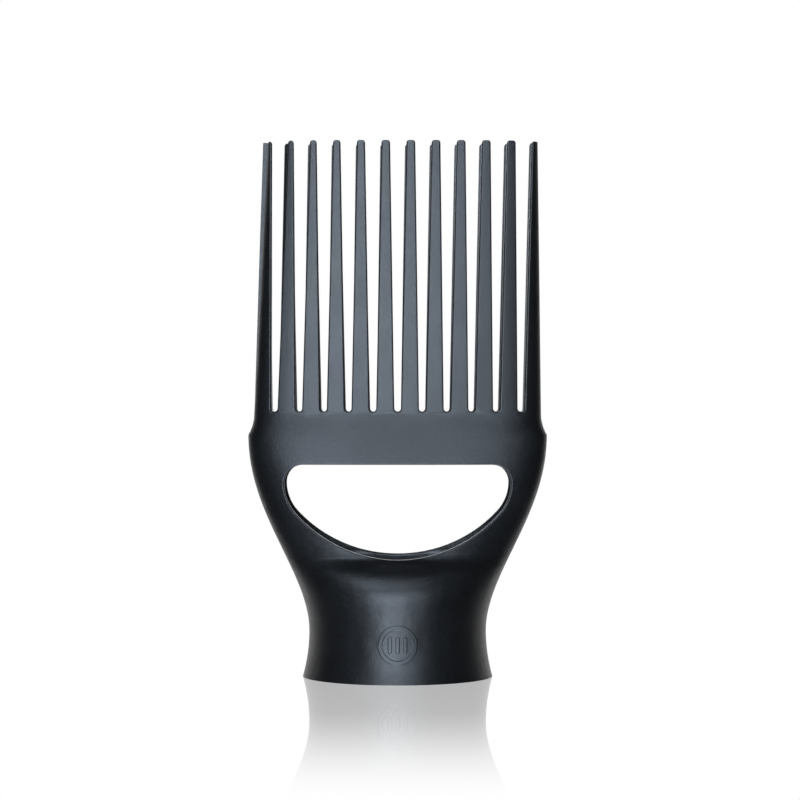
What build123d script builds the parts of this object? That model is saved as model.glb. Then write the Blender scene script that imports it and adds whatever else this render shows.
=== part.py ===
"""Comb nozzle for a hair dryer.

A round collar slips over the dryer's barrel. Above it the neck swells into a broad flat head with one
smile-shaped window through its front and rear walls, and two rows of long tapered teeth stand on the head.
The nozzle is two moulded half shells joined on the plane Y = 0, which trap a barrel sleeve with spring fingers
and a silicone seal inside the collar. Below the teeth the rear shell is the front one turned half round. Above,
both lean in at the comb's left end, and the two rows lean a little apart.

Millimetres. The origin is the middle of the base, +Z points along the teeth, and the front faces -Y.
"""

import os
from math import cos, pi

from build123d import *

# Collar, from the barrel outwards
barrel_radius = 23.5        # dryer barrel that the sleeve grips
sleeve_wall = 1.0
sleeve_fit = 0.05           # gap all round the sleeve
collar_wall = 1.45          # shell outside the sleeve, at the waist
waist_height = 13.4
rim_flare = 1.9             # the base rim stands out past the waist by this
finger_room = 0.35          # extra radius that the sleeve's fingers can bend into
lip_height = 1.3            # base lip that holds the sleeve in
lip_gap = 0.4               # between the base lip and the barrel
lead_in = 0.9               # chamfer round the mouth
ledge_depth = 1.2           # the throat is narrower than the barrel by this
ledge_height = 1.5

# Sleeve and seal
sleeve_length = 20.5
stop_height = 1.2           # inward lip at the sleeve's top, which stops the barrel
finger_count = 12
finger_slot = 1.3
finger_length = 12.0
seal_height = 1.0
seal_groove = 0.4           # the seal is held in a groove this deep in the sleeve
seal_fit = 0.05

# Neck and head, outside
head_half_width = 44.0
head_height = 70.9          # where the head is widest
neck_pull = 0.295           # how long the neck stays slim, as a share of its rise
shoulder_pull = 0.417       # how long the shoulder stays broad, as a share of its rise
brow_bottom = 23.0          # the round collar begins to turn in to the flat face here
brow_top = 36.0
brow_low_pull = 0.62
brow_high_pull = 0.15
face_lean = 0.19            # the head's face leans in by this much for each mm of height
circle_pull = 0.5523        # handle length that draws a quarter circle
comb_pull = 0.783           # handle length of the squarer oval of the comb
head_wall = 2.0

# Comb
root_height = 77.0          # top of the end ledge, where the comb's oval begins
comb_length = 80.1
comb_half_width = 42.27
comb_half_depth = 9.0
tip_half_width = 41.2
tip_half_depth = 7.8
teeth_per_row = 12
root_pitch = 7.21
tip_pitch = 7.35
slot_floor = 77.8           # lowest point between two teeth
root_gap = 1.95
tip_gap = 4.8
end_root_gap = 1.6          # between the front and the rear end teeth
end_tip_gap = 3.0
root_tooth_depth = 4.0
tip_tooth_depth = 2.3
row_lean = 0.2              # sideways lean of a row's tips
front_tuck = 2.8            # the front row's left end leans in by this at the tip
rear_tuck = 1.5
tuck_power = 2.5            # how quickly the lean dies away from the end tooth
tooth_round = 0.45          # outer edges along the teeth
tip_round = 0.8             # corners of the tips

# Window
window_top = 62.35
window_bottom = 35.05
window_half_width = 33.0
window_shoulder = 5.5       # radius of the upper corners
window_side = 12.84         # radius of the lower corners
window_sweep = 40.0         # radius of the long bottom arc
window_round = 0.4

# Locating pins and sockets on the seam, and the fine groove along it
seam_groove = 0.15
pin_radius = 1.1
pin_length = 3.0
pin_fit = 0.1
pin_height = 55.0
boss_radius = 2.6
bar_pin_radius = 0.9
bar_pin_height = 73.0

# Plain ring mark on the collar
mark_height = 11.2
mark_radius = 5.6
mark_line = 1.2
mark_relief = 0.3
mark_bars = 3
mark_bar_length = 4.6
mark_bar_width = 1.0
mark_bar_pitch = 2.2

# Worked out from the sizes above
sleeve_radius = barrel_radius + sleeve_wall
pocket_radius = sleeve_radius + sleeve_fit
waist_radius = pocket_radius + collar_wall
pocket_top = lip_height + sleeve_length + 2 * sleeve_fit
throat_radius = barrel_radius - ledge_depth
throat_top = pocket_top + ledge_height
stop_bottom = pocket_top - sleeve_fit - stop_height
seal_bottom = stop_bottom - seal_height
tip_height = root_height + comb_length
last_slot = (teeth_per_row - 2) // 2
reach = 2 * head_half_width     # longer than any cut has to be
overrun = 1.0                   # cuts run past the tips by this
touch = 0.01                    # an edge this near a surface lies on it
even = 1 / 3                    # handle share of an S-curve with no early or late start
LEFT = -1
RIGHT = 1
UPRIGHT = (Align.CENTER, Align.CENTER, Align.MIN)


def s_curve(share, low_pull=even, high_pull=even):
    """Rise from 0 to 1 over a share of 0 to 1, level at both ends: a cubic curve with two level handles."""
    share = min(max(share, 0.0), 1.0)
    low = 0.0
    high = 1.0
    for _ in range(50):
        u = (low + high) / 2
        along = 3 * u * (1 - u) ** 2 * low_pull + 3 * u * u * (1 - u) * (1 - high_pull) + u**3
        if along < share:
            low = u
        else:
            high = u
    return 3 * low * low - 2 * low**3


def between(z, bottom, top):
    """How far z is from bottom to top, as a share."""
    return (z - bottom) / (top - bottom)


def mix(start, end, share):
    """The value that lies a share of the way from start to end."""
    return start + (end - start) * share


def up_comb(z):
    """How far z is up the comb, as a share, and 0 below it."""
    return max(between(z, root_height, tip_height), 0.0)


def flare(z):
    """Extra radius of the base rim, which dies away at the waist."""
    return rim_flare * max(1 - z / waist_height, 0.0) ** 2


def half_width(z):
    """Side outline: flared rim, waist, swelling shoulder, end ledge, and the comb's taper."""
    if z <= head_height:
        rise = s_curve(between(z, waist_height, head_height), neck_pull, shoulder_pull)
        return mix(waist_radius, head_half_width, rise) + flare(z)
    if z <= root_height:
        return mix(head_half_width, comb_half_width, 1 - between(z, root_height, head_height) ** 2)
    return mix(comb_half_width, tip_half_width, up_comb(z))


def half_depth(z):
    """Front outline: flared rim, straight collar, quick brow, leaning face, and the comb's taper."""
    if z >= root_height:
        return mix(comb_half_depth, tip_half_depth, up_comb(z))
    face = comb_half_depth + face_lean * (root_height - z)
    drop = s_curve(between(z, brow_bottom, brow_top), brow_low_pull, brow_high_pull)
    return mix(waist_radius, face, drop) + flare(z)


def thickening(z):
    """How far the head's wall has grown into the teeth, from 0 at the window's top to 1 at their roots."""
    return s_curve(between(z, window_top, root_height))


def inner_half_width(z):
    """Side wall of the air passage, which closes in to the last slot at the comb."""
    if z >= root_height:
        return last_slot * mix(root_pitch, tip_pitch, up_comb(z))
    return mix(half_width(z) - head_wall, last_slot * root_pitch, thickening(z))


def inner_half_depth(z):
    """Face wall of the air passage, which thickens into the depth of the teeth."""
    if z >= root_height:
        return half_depth(z) - mix(root_tooth_depth, tip_tooth_depth, up_comb(z))
    return half_depth(z) - mix(head_wall, root_tooth_depth, thickening(z))


def tip_shift(x, lean, tuck):
    """Sideways shift of a tip at x: the row leans over, and its left end leans in."""
    return lean + tuck * max(-x / tip_half_width, 0.0) ** tuck_power


def half_section(z, a, b, lean=0.0, tuck=0.0):
    """Front half of an oval at height z with half width a and half depth b, closed along Y = 0.

    The oval is round at the waist and squarer at the comb, and up the comb it follows the tips' lean.
    """
    k = mix(circle_pull, comb_pull, s_curve(between(z, waist_height, root_height)))
    x = lean * up_comb(z)
    low = -a + tip_shift(-a, lean, tuck) * up_comb(z)
    high = a + tip_shift(a, lean, tuck) * up_comb(z)
    right = Edge.make_bezier((high, 0, z), (high, -k * b, z), (mix(x, high, k), -b, z), (x, -b, z))
    left = Edge.make_bezier((x, -b, z), (mix(x, low, k), -b, z), (low, -k * b, z), (low, 0, z))
    seam = Edge.make_line((low, 0, z), (high, 0, z))
    return Face(Wire([right, left, seam]))


def outer_section(z, lean=0.0, tuck=0.0):
    """Front half of the outer shape's section at height z."""
    return half_section(z, half_width(z), half_depth(z), lean, tuck)


def inner_section(z, lean=0.0, tuck=0.0):
    """Front half of the air passage's section at height z."""
    return half_section(z, inner_half_width(z), inner_half_depth(z), lean, tuck)


def heights(bottom, top, step):
    """Evenly spaced heights from bottom to top, about a step apart."""
    count = max(round((top - bottom) / step), 1)
    return [mix(bottom, top, i / count) for i in range(count + 1)]


def outer_body(lean, tuck):
    """Front half of the outer shape, solid, from the base to the tips."""
    lower = loft([outer_section(z) for z in heights(0, head_height, 3.0)])
    ledge = loft([outer_section(z) for z in heights(head_height, root_height, 2.0)])
    comb = loft([outer_section(root_height), outer_section(tip_height, lean, tuck)], ruled=True)
    body = lower + ledge + comb
    seam = body.edges().filter_by_position(Axis.Y, 0, 0).filter_by(Axis.X, reverse=True)
    return chamfer(seam, seam_groove)


def drum(radius, bottom, top):
    """A cylinder on the barrel's axis."""
    return Pos(0, 0, bottom) * Cylinder(radius, top - bottom, align=UPRIGHT)


def cavity(lean, tuck):
    """The mouth, the sleeve's pocket, the throat and the air passage, as one solid."""
    mouth_radius = barrel_radius + lip_gap
    turned = Cone(mouth_radius + lead_in, mouth_radius, lead_in, align=UPRIGHT)
    turned += drum(mouth_radius, 0, lip_height)
    turned += drum(pocket_radius + finger_room, lip_height, lip_height + finger_length)
    turned += drum(pocket_radius, lip_height, pocket_top)
    turned += drum(throat_radius, pocket_top, throat_top)
    passage = loft([inner_section(z) for z in heights(throat_top, root_height, 3.0)])
    crown = loft([inner_section(root_height), inner_section(tip_height + overrun, lean, tuck)], ruled=True)
    return turned + passage + crown


def window():
    """Smile-shaped prism through the wall: level top, round corners and a long bottom arc, all tangent."""
    corner_x = window_half_width - window_shoulder
    corner_z = window_top - window_shoulder
    shoulder = Vector(corner_x, corner_z)
    side = Vector(window_half_width - window_side, corner_z)
    sweep = Vector(0, window_bottom + window_sweep)
    outward = (side - sweep).normalized()
    joint = sweep + outward * window_sweep
    shoulder_middle = shoulder + Vector(1, 1).normalized() * window_shoulder
    side_middle = side + (outward + Vector(1, 0)).normalized() * window_side
    right = [
        ThreePointArc((corner_x, window_top), shoulder_middle, (window_half_width, corner_z)),
        ThreePointArc((window_half_width, corner_z), side_middle, joint),
    ]
    left = [arc.mirror(Plane.YZ) for arc in right]
    top = Line((-corner_x, window_top), (corner_x, window_top))
    bottom = ThreePointArc(joint, (0, window_bottom), (-joint.X, joint.Y))
    outline = Face(Wire([top, *right, bottom, *left]))
    return extrude(Plane.XZ * outline, reach, dir=(0, -1, 0))


def gap_outline(low_x, low_gap, high_x, high_gap):
    """Outline of the gap between two teeth: round floor and tapered sides, open past the tips."""
    floor_z = slot_floor + low_gap / 2
    top = tip_height + overrun
    low_right = (low_x + low_gap / 2, floor_z)
    low_left = (low_x - low_gap / 2, floor_z)
    high_right = (high_x + high_gap / 2, top)
    high_left = (high_x - high_gap / 2, top)
    floor = ThreePointArc(low_left, (low_x, slot_floor), low_right)
    return Face(Wire([floor, Line(low_right, high_right), Line(high_right, high_left), Line(high_left, low_left)]))


def slot_top(number, lean, tuck):
    """Middle of a slot at the tips."""
    x = number * tip_pitch
    return x + tip_shift(x, lean, tuck)


def slot(number, lean, tuck):
    """Cutter between two teeth of a row, counted from the middle."""
    outline = gap_outline(number * root_pitch, root_gap, slot_top(number, lean, tuck), tip_gap)
    return extrude(Plane.XZ * outline, reach, dir=(0, -1, 0))


def end_slot():
    """Cutter between the front and the rear end teeth, through both ends of the comb."""
    return extrude(Plane.YZ * gap_outline(0, end_root_gap, 0, end_tip_gap), reach, both=True)


def tip_cutter(x):
    """Cutter over a slot at x that rounds the corners of the two tips beside it."""
    low = tip_height - tip_round
    near = tip_gap / 2
    far = near + tip_round
    bend = tip_round * (1 - cos(pi / 4))
    right = ThreePointArc((x + near, low), (x + near + bend, tip_height - bend), (x + far, tip_height))
    left = ThreePointArc((x - far, tip_height), (x - near - bend, tip_height - bend), (x - near, low))
    above = Polyline((x + far, tip_height), (x + far, tip_height + overrun),
                     (x - far, tip_height + overrun), (x - far, tip_height))
    below = Line((x - near, low), (x + near, low))
    outline = Face(Wire([right, *above.edges(), left, below]))
    return extrude(Plane.XZ * outline, reach, dir=(0, -1, 0))


def cut_rounded(solid, cutter, skin, radius):
    """Cut a solid and round the new edges that lie on the skin, but not those on the tips' flat tops."""
    cut = solid - cutter
    edges = [e for e in new_edges(solid, cutter, combined=cut)
             if skin.distance_to(Vertex(*(e @ 0.5))) < touch and e.bounding_box().min.Z < tip_height - overrun]
    return fillet(edges, radius)


def marked(solid):
    """The shell with the ring mark raised on its collar."""
    ring = Circle(mark_radius) - Circle(mark_radius - mark_line)
    bars = GridLocations(mark_bar_pitch, 0, mark_bars, 1) * SlotOverall(mark_bar_length, mark_bar_width, 90)
    sketch = Pos(0, mark_height) * (ring + bars)
    low = mark_height - mark_radius
    high = mark_height + mark_radius
    skin = loft([half_section(z, half_width(z) + mark_relief, half_depth(z) + mark_relief)
                 for z in heights(low - overrun, high + overrun, 2.0)])
    raised = extrude(Plane.XZ * sketch, reach, dir=(0, -1, 0)) & skin
    return solid + (raised - drum(pocket_radius + finger_room + collar_wall / 2, 0, throat_top))


def inside_wall(bottom, top):
    """Front half of the space within the middle of the head's wall, from one height to another."""
    return loft([half_section(z, inner_half_width(z) + head_wall / 2, inner_half_depth(z) + head_wall / 2)
                 for z in heights(bottom, top, 2.0)])


def across_seam(x, z, radius, start, end):
    """A cylinder square to the seam, from one Y to another."""
    return Pos(x, start, z) * Rot(90, 0, 0) * Cylinder(radius, start - end, align=UPRIGHT)


def half_shell(lean, tuck, pin_side):
    """Front half of the nozzle, with pins on one side and sockets on the other."""
    boss_x = (window_half_width + inner_half_width(pin_height)) / 2
    bar_x = (half_width(bar_pin_height) + inner_half_width(bar_pin_height)) / 2
    outside = outer_body(lean, tuck)
    skin = Compound(children=outside.faces().filter_by(GeomType.PLANE, reverse=True))
    half = outside - cavity(lean, tuck)
    room = inside_wall(pin_height - 2 * boss_radius, pin_height + 2 * boss_radius)
    for x in (boss_x, -boss_x):
        half += across_seam(x, pin_height, boss_radius, 0, -reach) & room
    half = cut_rounded(half, window(), half, window_round)
    for number in range(-last_slot, last_slot + 1):
        half = cut_rounded(half, slot(number, lean, tuck), skin, tooth_round)
    half -= end_slot()
    for number in range(-last_slot, last_slot + 1):
        half -= tip_cutter(slot_top(number, lean, tuck))
    for x, z, radius in ((boss_x, pin_height, pin_radius), (bar_x, bar_pin_height, bar_pin_radius)):
        half += across_seam(pin_side * x, z, radius, pin_length, 0)
        half -= across_seam(-pin_side * x, z, radius + pin_fit, 0, -pin_length - pin_fit)
    return marked(half)


def barrel_sleeve():
    """Liner ring with spring fingers below and a stop lip on top."""
    bottom = lip_height + sleeve_fit
    top = pocket_top - sleeve_fit
    ring = drum(sleeve_radius, bottom, top) - drum(barrel_radius, bottom, seal_bottom)
    ring -= drum(barrel_radius + seal_groove, seal_bottom, stop_bottom)
    ring -= drum(throat_radius, stop_bottom, top)
    middle = finger_length - finger_slot / 2
    slit = Pos(0, 0, bottom) * Box(reach, finger_slot, middle, align=UPRIGHT)
    slit += Pos(0, 0, bottom + middle) * Rot(0, 90, 0) * Cylinder(finger_slot / 2, reach)
    for number in range(finger_count // 2):
        ring -= Rot(0, 0, 360 * (number + 0.5) / finger_count) * slit
    return ring


def barrel_seal():
    """Flat silicone ring held in the groove under the stop lip."""
    ring = drum(barrel_radius + seal_groove - seal_fit, seal_bottom, stop_bottom)
    return ring - drum(throat_radius, seal_bottom, stop_bottom)


pieces = {
    "front_comb_shell": half_shell(row_lean, front_tuck, RIGHT),
    "rear_comb_shell": mirror(half_shell(-row_lean, rear_tuck, LEFT), about=Plane.XZ),
    "barrel_sleeve": barrel_sleeve(),
    "barrel_seal": barrel_seal(),
}
os.makedirs("parts", exist_ok=True)
for name, piece in pieces.items():
    export_step(piece, f"parts/{name}.step")
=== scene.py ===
"""Studio scene of a comb nozzle for a hair dryer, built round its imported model.

Metres, in the model's own frame: the base stands on Z = 0, the teeth point up and the front faces -Y.
"""

from math import cos, pi, radians, sin

import bpy
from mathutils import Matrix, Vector


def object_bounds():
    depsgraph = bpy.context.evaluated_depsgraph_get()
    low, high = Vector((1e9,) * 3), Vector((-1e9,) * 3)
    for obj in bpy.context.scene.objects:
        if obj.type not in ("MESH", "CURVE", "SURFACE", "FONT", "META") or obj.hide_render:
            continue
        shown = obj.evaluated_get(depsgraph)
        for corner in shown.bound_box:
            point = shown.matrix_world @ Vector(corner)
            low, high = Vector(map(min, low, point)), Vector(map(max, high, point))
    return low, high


MM = 0.001
SHARP_EDGE = radians(40)        # edges that turn by more than this stay sharp
WELD_REACH = 0.001 * MM         # faces of a mesh whose corners are this near are joined

# Sizes of the shells' surface marks, and the reach of their worn and softened edges
SHELL_CLOUD = 14 * MM
SHELL_SPECK = 0.5 * MM
SHELL_GRAIN = 0.28 * MM
SHELL_GRAIN_DEPTH = 0.05 * MM
SHELL_WEAR = 0.5 * MM
SHELL_EDGE = 0.3 * MM

FLOOR_DROP = 0.05 * MM          # the floor lies this far under the base
FLOOR_RADIUS = 14
FLOOR_IOR = 1.45
FLOOR_ROUGHNESS = 0.02
FADE_START = 0.08               # the floor's mirror image fades out from this far from the base's middle
FADE_END = 0.25                 # to this far

FRONT_GLOW = 0.03               # strength of the background as the object sees it, in front and at the sides
BEHIND_GLOW = 1.0               # and straight behind it
GLOW_START = 0.4                # Y of a direction where the one starts to turn into the other
GLOW_END = 0.95

LIGHT_DISTANCE = 1.2
STUDIO_WHITE = (0.72, 0.84, 1.0)
REAR_WHITE = (0.9, 0.95, 1.0)

CAMERA_LENS = 119.4             # in mm, on a sensor 36 mm wide
CAMERA_SENSOR = 36
CAMERA_PLACE = (0.7 * MM, -782 * MM, 81.2 * MM)

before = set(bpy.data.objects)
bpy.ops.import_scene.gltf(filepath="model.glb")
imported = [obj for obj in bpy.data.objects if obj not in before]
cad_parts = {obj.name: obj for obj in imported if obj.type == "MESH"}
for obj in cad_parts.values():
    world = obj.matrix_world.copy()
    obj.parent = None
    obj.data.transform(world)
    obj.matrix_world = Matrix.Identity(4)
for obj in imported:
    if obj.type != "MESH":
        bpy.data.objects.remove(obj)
cad_low, cad_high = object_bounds()


# Node helpers

def link(tree, source, target):
    """Join an output to an input."""
    tree.links.new(source, target)


def add(tree, kind, **settings):
    """A new node, with its settings and the default values of its inputs by name."""
    node = tree.nodes.new(kind)
    for name, value in settings.items():
        if hasattr(node, name):
            setattr(node, name, value)
        else:
            node.inputs[name.replace("_", " ")].default_value = value
    return node


def new_material(name):
    """An empty node material: its tree and its Principled shader."""
    material = bpy.data.materials.new(name)
    material.use_nodes = True
    tree = material.node_tree
    tree.nodes.clear()
    shader = tree.nodes.new("ShaderNodeBsdfPrincipled")
    output = tree.nodes.new("ShaderNodeOutputMaterial")
    link(tree, shader.outputs["BSDF"], output.inputs["Surface"])
    return material, tree, shader


def noise(tree, place, size, detail=2.0, rough=0.5):
    """Noise whose lumps are about size across, in metres."""
    node = add(tree, "ShaderNodeTexNoise", Scale=1 / size, Detail=detail, Roughness=rough)
    link(tree, place, node.inputs["Vector"])
    return node.outputs["Fac"]


def ramp(tree, factor, *stops):
    """Colour ramp from (position, colour) pairs."""
    node = tree.nodes.new("ShaderNodeValToRGB")
    elements = node.color_ramp.elements
    for extra in stops[2:]:
        elements.new(extra[0])
    for element, (position, colour) in zip(elements, stops):
        element.position = position
        element.color = (*colour, 1)
    link(tree, factor, node.inputs["Fac"])
    return node.outputs["Color"]


def remap(tree, factor, low, high, from_low=0.0, from_high=1.0):
    """A factor stretched to run from low to high."""
    node = add(tree, "ShaderNodeMapRange", clamp=True)
    for name, value in (("From Min", from_low), ("From Max", from_high), ("To Min", low), ("To Max", high)):
        node.inputs[name].default_value = value
    link(tree, factor, node.inputs["Value"])
    return node.outputs["Result"]


def math_node(tree, operation, *values):
    """Arithmetic on outputs and plain numbers."""
    node = add(tree, "ShaderNodeMath", operation=operation)
    for socket, value in zip(node.inputs, values):
        if isinstance(value, (int, float)):
            socket.default_value = value
        else:
            link(tree, value, socket)
    return node.outputs["Value"]


def mix_colours(tree, factor, first, second):
    """Blend of two colours, each an output or an RGB triple."""
    node = add(tree, "ShaderNodeMix", data_type="RGBA")
    link(tree, factor, node.inputs["Factor"])
    for name, value in (("A", first), ("B", second)):
        socket = [s for s in node.inputs if s.name == name and s.type == "RGBA"][0]
        if isinstance(value, tuple):
            socket.default_value = (*value, 1)
        else:
            link(tree, value, socket)
    return [s for s in node.outputs if s.type == "RGBA"][0]


def edge_wear(tree, radius):
    """1 on edges whose two sides turn away within a radius, 0 on open faces."""
    soft = add(tree, "ShaderNodeBevel", samples=6, Radius=radius)
    plain = tree.nodes.new("ShaderNodeNewGeometry")
    dot = add(tree, "ShaderNodeVectorMath", operation="DOT_PRODUCT")
    link(tree, soft.outputs["Normal"], dot.inputs[0])
    link(tree, plain.outputs["Normal"], dot.inputs[1])
    return remap(tree, dot.outputs["Value"], 1.0, 0.0, 0.80, 0.995)


# Materials

def moulded_plastic():
    """Black satin plastic with a spark-eroded grain, faint clouding, and edges polished by handling."""
    material, tree, shader = new_material("moulded_black_plastic")
    place = tree.nodes.new("ShaderNodeTexCoord").outputs["Object"]
    cloud = noise(tree, place, SHELL_CLOUD, 4.0, 0.6)
    speck = noise(tree, place, SHELL_SPECK, 2.0, 0.6)
    wear = edge_wear(tree, SHELL_WEAR)
    body = ramp(tree, cloud, (0.3, (0.0022, 0.0023, 0.0025)), (0.7, (0.0036, 0.0037, 0.0040)))
    body = mix_colours(tree, remap(tree, speck, 0.0, 0.5, 0.45, 0.75), body, (0.0065, 0.0067, 0.0070))
    body = mix_colours(tree, math_node(tree, "MULTIPLY", wear, 0.35), body, (0.040, 0.042, 0.046))
    link(tree, body, shader.inputs["Base Color"])
    rough = remap(tree, cloud, 0.36, 0.42, 0.3, 0.7)
    rough = math_node(tree, "ADD", rough, remap(tree, speck, -0.03, 0.03, 0.3, 0.7))
    rough = math_node(tree, "SUBTRACT", rough, math_node(tree, "MULTIPLY", wear, 0.08))
    link(tree, rough, shader.inputs["Roughness"])
    grain = math_node(tree, "ADD", noise(tree, place, SHELL_GRAIN, 3.0, 0.7),
                      math_node(tree, "MULTIPLY", noise(tree, place, 0.9 * MM), 0.5))
    bump = add(tree, "ShaderNodeBump", Strength=0.8, Distance=SHELL_GRAIN_DEPTH)
    link(tree, grain, bump.inputs["Height"])
    edge = add(tree, "ShaderNodeBevel", samples=6, Radius=SHELL_EDGE)
    link(tree, edge.outputs["Normal"], bump.inputs["Normal"])
    link(tree, bump.outputs["Normal"], shader.inputs["Normal"])
    shader.inputs["IOR"].default_value = 1.5
    return material


def sleeve_plastic():
    """Charcoal nylon of the liner, with faint mould flow and finely rubbed fingers."""
    material, tree, shader = new_material("liner_charcoal_nylon")
    place = tree.nodes.new("ShaderNodeTexCoord").outputs["Object"]
    cloud = noise(tree, place, 6 * MM, 4.0, 0.6)
    wear = edge_wear(tree, 0.3 * MM)
    body = ramp(tree, cloud, (0.3, (0.022, 0.023, 0.025)), (0.7, (0.032, 0.033, 0.035)))
    body = mix_colours(tree, math_node(tree, "MULTIPLY", wear, 0.4), body, (0.07, 0.072, 0.075))
    link(tree, body, shader.inputs["Base Color"])
    link(tree, remap(tree, cloud, 0.45, 0.56, 0.3, 0.7), shader.inputs["Roughness"])
    bump = add(tree, "ShaderNodeBump", Strength=0.25, Distance=0.02 * MM)
    link(tree, noise(tree, place, 0.35 * MM, 3.0), bump.inputs["Height"])
    link(tree, bump.outputs["Normal"], shader.inputs["Normal"])
    return material


def seal_silicone():
    """Dark grey silicone of the seal, matt and faintly dusty."""
    material, tree, shader = new_material("seal_grey_silicone")
    place = tree.nodes.new("ShaderNodeTexCoord").outputs["Object"]
    dust = noise(tree, place, 1.2 * MM, 5.0, 0.7)
    body = ramp(tree, dust, (0.35, (0.050, 0.051, 0.053)), (0.8, (0.085, 0.086, 0.088)))
    link(tree, body, shader.inputs["Base Color"])
    link(tree, remap(tree, dust, 0.6, 0.75, 0.3, 0.8), shader.inputs["Roughness"])
    bump = add(tree, "ShaderNodeBump", Strength=0.3, Distance=0.02 * MM)
    link(tree, dust, bump.inputs["Height"])
    link(tree, bump.outputs["Normal"], shader.inputs["Normal"])
    return material


def dress(node, material):
    """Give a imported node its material."""
    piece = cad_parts[node]
    for place in piece.material_slots:
        place.material = material
    if not piece.material_slots:
        piece.data.materials.append(material)


def smooth_shading():
    """Node group that joins the faces of a mesh and shades it smooth, except at its sharp edges."""
    tree = bpy.data.node_groups.new("smooth_shading", "GeometryNodeTree")
    tree.interface.new_socket("Geometry", in_out="INPUT", socket_type="NodeSocketGeometry")
    tree.interface.new_socket("Geometry", in_out="OUTPUT", socket_type="NodeSocketGeometry")
    start = tree.nodes.new("NodeGroupInput")
    end = tree.nodes.new("NodeGroupOutput")
    join = add(tree, "GeometryNodeMergeByDistance", Distance=WELD_REACH)
    forget = add(tree, "GeometryNodeRemoveAttribute", Name="custom_normal")
    angle = tree.nodes.new("GeometryNodeInputMeshEdgeAngle")
    sharp = add(tree, "FunctionNodeCompare", data_type="FLOAT", operation="GREATER_THAN", B=SHARP_EDGE)
    link(tree, angle.outputs["Unsigned Angle"], sharp.inputs["A"])
    shade = add(tree, "GeometryNodeSetShadeSmooth", domain="EDGE")
    shade.inputs["Shade Smooth"].default_value = False
    link(tree, start.outputs["Geometry"], join.inputs["Geometry"])
    link(tree, join.outputs["Geometry"], forget.inputs["Geometry"])
    link(tree, forget.outputs["Geometry"], shade.inputs["Geometry"])
    link(tree, sharp.outputs["Result"], shade.inputs["Selection"])
    link(tree, shade.outputs["Geometry"], end.inputs["Geometry"])
    return tree


def smooth(node, group):
    """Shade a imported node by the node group, with broad faces kept flat."""
    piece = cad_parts[node]
    piece.modifiers.new("smooth_shading", "NODES").node_group = group
    weigh = piece.modifiers.new("weighted_normals", "WEIGHTED_NORMAL")
    weigh.keep_sharp = True


shell_finish = moulded_plastic()
dress("front_comb_shell", shell_finish)
dress("rear_comb_shell", shell_finish)
dress("barrel_sleeve", sleeve_plastic())
dress("barrel_seal", seal_silicone())
shading = smooth_shading()
smooth("front_comb_shell", shading)
smooth("rear_comb_shell", shading)


# Studio

def floor():
    """Wide pale gloss floor, whose mirror image of the object fades out away from its base.

    Only the camera sees it. Lamps below its level shine through, as a bright table would throw light back.
    """
    bpy.ops.mesh.primitive_circle_add(vertices=96, radius=FLOOR_RADIUS, fill_type="NGON",
                                      location=(0, 0, -FLOOR_DROP))
    piece = bpy.context.object
    piece.name = "studio_floor"
    material = bpy.data.materials.new("white_gloss_floor")
    material.use_nodes = True
    tree = material.node_tree
    tree.nodes.clear()
    output = tree.nodes.new("ShaderNodeOutputMaterial")
    place = tree.nodes.new("ShaderNodeTexCoord").outputs["Object"]
    length = add(tree, "ShaderNodeVectorMath", operation="LENGTH")
    link(tree, place, length.inputs[0])
    near = remap(tree, length.outputs["Value"], 1.0, 0.0, FADE_START, FADE_END)
    near.node.interpolation_type = "SMOOTHSTEP"
    fresnel = add(tree, "ShaderNodeFresnel", IOR=FLOOR_IOR)
    gloss = tree.nodes.new("ShaderNodeBsdfGlossy")
    gloss.inputs["Roughness"].default_value = FLOOR_ROUGHNESS
    gloss.inputs["Color"].default_value = (1, 1, 1, 1)
    white = add(tree, "ShaderNodeEmission", Strength=1.0)
    mirror = tree.nodes.new("ShaderNodeMixShader")
    link(tree, math_node(tree, "MULTIPLY", near, fresnel.outputs["Fac"]), mirror.inputs["Fac"])
    link(tree, white.outputs["Emission"], mirror.inputs[1])
    link(tree, gloss.outputs["BSDF"], mirror.inputs[2])
    clear = tree.nodes.new("ShaderNodeBsdfTransparent")
    rays = tree.nodes.new("ShaderNodeLightPath")
    seen = tree.nodes.new("ShaderNodeMixShader")
    link(tree, rays.outputs["Is Camera Ray"], seen.inputs["Fac"])
    link(tree, clear.outputs["BSDF"], seen.inputs[1])
    link(tree, mirror.outputs["Shader"], seen.inputs[2])
    link(tree, seen.outputs["Shader"], output.inputs["Surface"])
    piece.data.materials.append(material)


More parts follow.
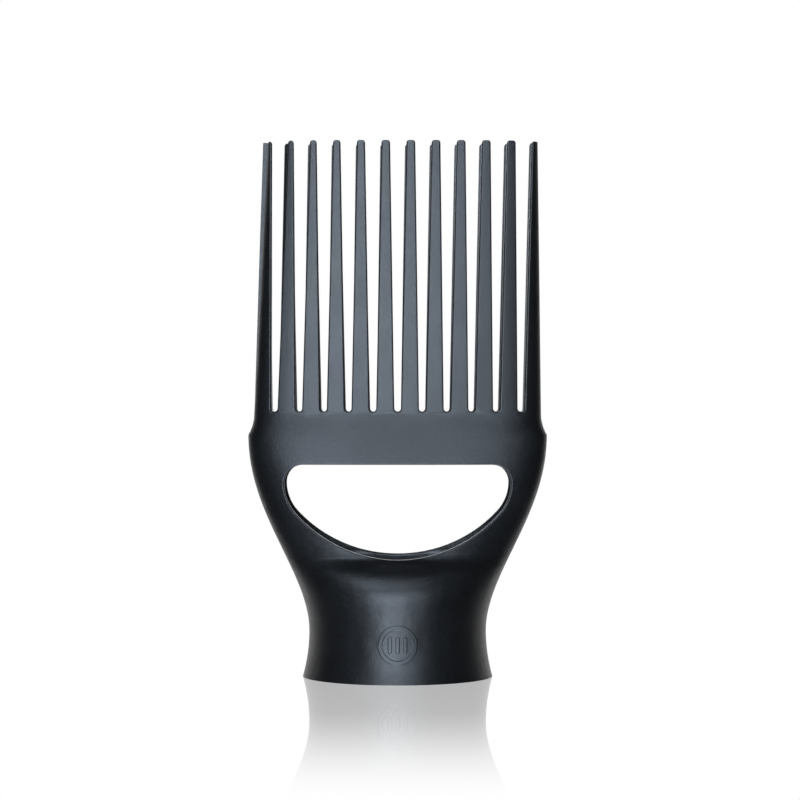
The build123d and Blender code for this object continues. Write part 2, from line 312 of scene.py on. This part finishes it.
def surroundings():
    """White background, which lights the object brightly from behind and dimly from the other sides."""
    world = bpy.data.worlds.new("studio")
    bpy.context.scene.world = world
    world.use_nodes = True
    tree = world.node_tree
    tree.nodes.clear()
    output = tree.nodes.new("ShaderNodeOutputWorld")
    place = tree.nodes.new("ShaderNodeTexCoord").outputs["Generated"]
    split = tree.nodes.new("ShaderNodeSeparateXYZ")
    link(tree, place, split.inputs["Vector"])
    behind = remap(tree, split.outputs["Y"], FRONT_GLOW, BEHIND_GLOW, GLOW_START, GLOW_END)
    dim = add(tree, "ShaderNodeBackground", Color=(1, 1, 1, 1))
    link(tree, behind, dim.inputs["Strength"])
    white = add(tree, "ShaderNodeBackground", Color=(1, 1, 1, 1), Strength=1.0)
    rays = tree.nodes.new("ShaderNodeLightPath")
    seen = tree.nodes.new("ShaderNodeMixShader")
    link(tree, rays.outputs["Is Camera Ray"], seen.inputs["Fac"])
    link(tree, dim.outputs["Background"], seen.inputs[1])
    link(tree, white.outputs["Background"], seen.inputs[2])
    link(tree, seen.outputs["Shader"], output.inputs["Surface"])


def softbox(name, azimuth, elevation, width, height, radiance, colour=STUDIO_WHITE):
    """Rectangular lamp that faces the object. Azimuth 0 is in front of it and 90 to its right."""
    target = Vector((0, 0, (cad_low.z + cad_high.z) / 2))
    a = radians(azimuth)
    e = radians(elevation)
    towards = Vector((sin(a) * cos(e), -cos(a) * cos(e), sin(e)))
    light = bpy.data.lights.new(name, "AREA")
    light.shape = "RECTANGLE"
    light.size = width
    light.size_y = height
    light.energy = radiance * width * height * pi
    light.color = colour
    lamp = bpy.data.objects.new(name, light)
    bpy.context.scene.collection.objects.link(lamp)
    lamp.location = target + towards * LIGHT_DISTANCE
    lamp.rotation_euler = towards.to_track_quat("Z", "Y").to_euler()
    lamp.visible_camera = False


def camera():
    """Level camera at the height of the tooth roots, looking along +Y."""
    data = bpy.data.cameras.new("camera")
    data.lens = CAMERA_LENS
    data.sensor_width = CAMERA_SENSOR
    data.clip_start = 0.01
    data.clip_end = 100
    piece = bpy.data.objects.new("camera", data)
    bpy.context.scene.collection.objects.link(piece)
    piece.location = CAMERA_PLACE
    piece.rotation_euler = (radians(90), 0, 0)
    bpy.context.scene.camera = piece


floor()
surroundings()
softbox("front_key", azimuth=-10, elevation=1.5, width=0.42, height=0.57, radiance=14.5)
softbox("front_low", azimuth=-8, elevation=-55, width=0.55, height=1.1, radiance=10.0)
softbox("front_fill", azimuth=10, elevation=8, width=0.42, height=0.80, radiance=4.2)
softbox("overhead", azimuth=0, elevation=50, width=0.55, height=0.42, radiance=4.0)
softbox("left_high", azimuth=-30, elevation=42, width=0.35, height=0.60, radiance=6.0)
softbox("rear_softbox", azimuth=180, elevation=25, width=0.8, height=0.8, radiance=2.0, colour=REAR_WHITE)
camera()
bpy.context.scene.view_settings.view_transform = "Standard"
